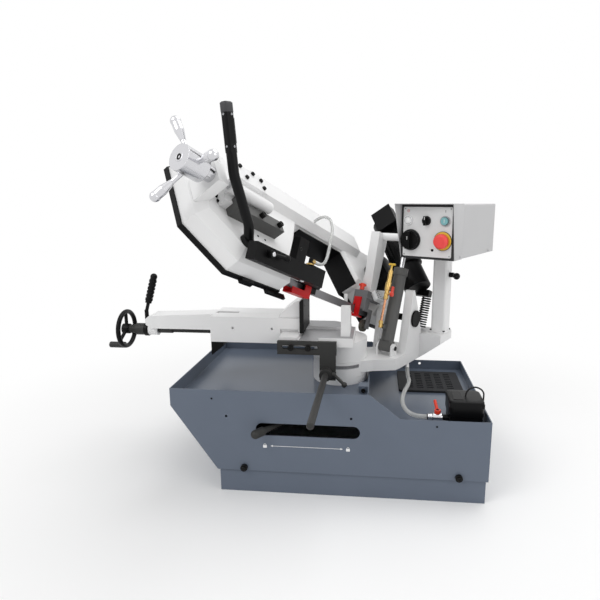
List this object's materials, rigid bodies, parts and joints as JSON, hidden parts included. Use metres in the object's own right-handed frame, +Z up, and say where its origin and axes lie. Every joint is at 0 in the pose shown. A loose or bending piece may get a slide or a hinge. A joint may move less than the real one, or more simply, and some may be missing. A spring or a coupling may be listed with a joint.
{
  "type": "metal cutting band saw",
  "caption": "Horizontal mitre band saw for metal: coolant stand, turntable, screw vise, bar stop and a tilting bow with a slanted blade, oil damper and control console.",
  "frame": {"origin": "floor point under the swivel axis, at the centre of the floor-anchor pattern", "axes": "+Z up, +X to the operator's right along the vise, +Y away from the operator"},
  "size_m": [1.4066, 1.0902, 1.1332],
  "materials": {
    "stand_paint": "glossy blue-grey enamel",
    "casting_paint": "light grey paint over castings",
    "console_paint": "fine textured grey paint",
    "panel_plate": "satin pale panel with a dark border",
    "black_paint": "semi-gloss black paint",
    "dark_metal": "dark grey satin paint",
    "bolt_black": "black oxide",
    "black_plastic": "glossy black moulding",
    "bright_steel": "turned bright steel",
    "polished": "polished",
    "guard_red": "deep red paint",
    "valve_brass": "machined brass",
    "tap_red": "orange-red moulding",
    "knob_yellow": "yellow moulding",
    "stop_red": "red mushroom button",
    "start_teal": "pale blue-green button",
    "brush_wire": "packed steel wire",
    "spring_black": "black spring steel",
    "hose_clear": "clear soft tube",
    "cable_black": "black rubber sheath"
  },
  "bodies": {
    "stand": {"stand_tub": "stand_paint", "stand_plinth": "stand_paint", "tank_cover": "black_paint", "stand_bolts": "bolt_black", "swivel_pedestal": "casting_paint", "saw_table": "casting_paint", "fixed_jaw": "casting_paint", "vise_bed": "casting_paint", "bed_bracket": "black_paint", "stop_bracket": "dark_metal", "pump": "black_plastic", "coolant_hose": "hose_clear", "pump_cable": "cable_black"},
    "lock_lever": {"swivel_lock_lever": "black_plastic"},
    "jaw": {"moving_jaw": "casting_paint", "jaw_plate": "dark_metal"},
    "vise_spindle": {"vise_screw": "bright_steel", "vise_handwheel": "black_plastic"},
    "crank": {"crank_grip": "black_plastic"},
    "quick_clamp": {"quick_lever": "black_plastic"},
    "bar_stop": {"stop_rod": "dark_metal"},
    "bar_stop_clamp": {"stop_clamp_lever": "black_plastic"},
    "pump_tap": {"valve_lever": "tap_red"},
    "swivel": {"swivel_arm": "casting_paint", "hinge_pin": "bolt_black", "console_post": "casting_paint", "console_box": "console_paint", "console_panel": "panel_plate", "return_spring": "spring_black"},
    "speed_switch": {"speed_selector": "black_plastic"},
    "start": {"start_button": "start_teal"},
    "isolator": {"main_switch": "black_plastic"},
    "stop_button": {"emergency_stop": "stop_red"},
    "console_clamp": {"console_lever": "black_plastic"},
    "damper": {"feed_cylinder": "dark_metal", "needle_valve": "valve_brass"},
    "feed_valve": {"feed_knob": "knob_yellow"},
    "oil_tap": {"valve_tap": "tap_red"},
    "damper_rod": {"cylinder_rod": "bright_steel"},
    "bow": {"bow_frame": "casting_paint", "rear_cover": "black_paint", "gearbox": "black_paint", "motor": "black_paint", "fixed_guide": "dark_metal", "fixed_guide_guard": "guard_red", "saw_blade": "bright_steel", "gib_plate": "dark_metal", "bow_bolts": "bolt_black", "pull_handle": "black_paint", "bow_hose": "hose_clear"},
    "coolant_tap": {"guide_tap": "tap_red"},
    "brush": {"chip_brush": "brush_wire"},
    "driven_wheel": {"drive_wheel": "bright_steel"},
    "tension_slide": {"tension_housing": "casting_paint"},
    "front_wheel": {"idle_wheel": "bright_steel"},
    "tension_star": {"tension_wheel": "polished"},
    "guide": {"guide_arm": "black_paint", "front_guide_guard": "guard_red"},
    "guide_clamp": {"guide_clamp_lever": "bright_steel"},
    "switch_trigger": {"trigger": "black_plastic"}
  },
  "joints": [
    {"name": "swivel_turn", "type": "hinge", "parent": "stand", "child": "swivel", "pos_m": [0, 0, 0.35], "axis": [0, 0, -1], "range_deg": [0, 60], "deforming": ["coolant_hose"]},
    {"name": "bow_raise", "type": "hinge", "parent": "swivel", "child": "bow", "pos_m": [0.1025, 0.17753, 0.488], "axis": [-0.866, 0.5, 0], "range_deg": [-22, 18], "deforming": ["return_spring"]},
    {"name": "damper_tilt", "type": "hinge", "parent": "swivel", "child": "damper", "pos_m": [0.15875, 0.02497, 0.398], "axis": [-0.866, 0.5, 0], "range_deg": [-16, 13]},
    {"name": "rod_slide", "type": "slide", "parent": "damper", "child": "damper_rod", "axis": [0.1753, 0.3036, 0.9365], "range_m": [-0.0275, 0.0225]},
    {"name": "lock_turn", "type": "hinge", "parent": "stand", "child": "lock_lever", "pos_m": [0, 0, 0.216], "axis": [0, 0, 1], "range_deg": [0, 45]},
    {"name": "jaw_slide", "type": "slide", "parent": "stand", "child": "jaw", "axis": [1, 0, 0], "range_m": [0, 0.055]},
    {"name": "vise_turn", "type": "hinge", "parent": "stand", "child": "vise_spindle", "pos_m": [-0.777, 0, 0.449], "axis": [1, 0, 0], "range_deg": [-5, 3965]},
    {"name": "crank_spin", "type": "hinge", "parent": "vise_spindle", "child": "crank", "pos_m": [-0.81, 0, 0.387], "axis": [1, 0, 0], "continuous": true},
    {"name": "quick_turn", "type": "hinge", "parent": "stand", "child": "quick_clamp", "pos_m": [-0.698, 0, 0.449], "axis": [1, 0, 0], "range_deg": [0, 75]},
    {"name": "stop_reach", "type": "slide", "parent": "stand", "child": "bar_stop", "axis": [0, 1, 0], "range_m": [-0.05, 0.012]},
    {"name": "stop_clamp_turn", "type": "hinge", "parent": "stand", "child": "bar_stop_clamp", "pos_m": [-0.01, -0.162, 0.357], "axis": [1, 0, 0], "range_deg": [-60, 60]},
    {"name": "pump_tap_turn", "type": "hinge", "parent": "stand", "child": "pump_tap", "pos_m": [0.316, -0.212, 0.268], "axis": [0, 0, 1], "range_deg": [0, 90]},
    {"name": "speed_turn", "type": "hinge", "parent": "swivel", "child": "speed_switch", "pos_m": [0.28051, -0.01415, 0.84], "axis": [0.5, 0.866, 0], "range_deg": [-45, 45]},
    {"name": "start_press", "type": "slide", "parent": "swivel", "child": "start", "axis": [0.5, 0.866, 0], "range_m": [0, 0.003], "stiffness_N_per_m": 600},
    {"name": "isolator_turn", "type": "hinge", "parent": "swivel", "child": "isolator", "pos_m": [0.23287, 0.01335, 0.776], "axis": [0.5, 0.866, 0], "range_deg": [0, 90]},
    {"name": "stop_press", "type": "slide", "parent": "swivel", "child": "stop_button", "axis": [0.5, 0.866, 0], "range_m": [0, 0.006], "stiffness_N_per_m": 900},
    {"name": "console_clamp_turn", "type": "hinge", "parent": "swivel", "child": "console_clamp", "pos_m": [0.39816, 0.13963, 0.64], "axis": [0.866, -0.5, 0], "range_deg": [-60, 60]},
    {"name": "feed_turn", "type": "hinge", "parent": "damper", "child": "feed_valve", "pos_m": [0.1751, 0.06928, 0.68489], "axis": [0.1753, 0.3036, 0.9365], "range_deg": [0, 270]},
    {"name": "oil_tap_turn", "type": "hinge", "parent": "damper", "child": "oil_tap", "pos_m": [0.17419, 0.0277, 0.58749], "axis": [0.866, -0.5, 0], "range_deg": [0, 90]},
    {"name": "coolant_tap_turn", "type": "hinge", "parent": "bow", "child": "coolant_tap", "pos_m": [0.07056, 0.11022, 0.59782], "axis": [0.1873, 0.3244, 0.9272], "range_deg": [-45, 45]},
    {"name": "brush_spin", "type": "hinge", "parent": "bow", "child": "brush", "pos_m": [0.07483, 0.08961, 0.45749], "axis": [0.866, -0.5, 0], "continuous": true},
    {"name": "drive_spin", "type": "hinge", "parent": "bow", "child": "driven_wheel", "pos_m": [0.06955, 0.29499, 0.56551], "axis": [0.8044, -0.2041, 0.558], "continuous": true},
    {"name": "tension_slide", "type": "slide", "parent": "bow", "child": "tension_slide", "axis": [0.4636, 0.803, -0.3746], "range_m": [0, 0.012]},
    {"name": "idle_spin", "type": "hinge", "parent": "tension_slide", "child": "front_wheel", "pos_m": [-0.28742, -0.32329, 0.85396], "axis": [0.8044, -0.2041, 0.558], "continuous": true},
    {"name": "tension_turn", "type": "hinge", "parent": "bow", "child": "tension_star", "pos_m": [-0.31219, -0.51954, 0.98994], "axis": [0.4636, 0.803, -0.3746], "range_deg": [-1, 1081]},
    {"name": "guide_slide", "type": "slide", "parent": "bow", "child": "guide", "axis": [0.4636, 0.803, -0.3746], "range_m": [0, 0.15], "deforming": ["bow_hose"]},
    {"name": "guide_clamp_turn", "type": "hinge", "parent": "guide", "child": "guide_clamp", "pos_m": [-0.14261, -0.44701, 0.7733], "axis": [0.866, -0.5, 0], "range_deg": [-40, 90]},
    {"name": "trigger_press", "type": "slide", "parent": "bow", "child": "switch_trigger", "axis": [-0.4987, -0.8638, -0.0719], "range_m": [0, 0.004], "stiffness_N_per_m": 800}
  ],
  "couplings": [
    {"joint": "damper_tilt", "follows": "bow_raise", "ratio": 0.7},
    {"joint": "rod_slide", "follows": "bow_raise", "m_per_rad": 0.06875},
    {"joint": "vise_turn", "follows": "jaw_slide", "rad_per_m": 1256.6},
    {"joint": "idle_spin", "follows": "drive_spin", "ratio": 1},
    {"joint": "tension_turn", "follows": "tension_slide", "rad_per_m": 1570.8}
  ]
}
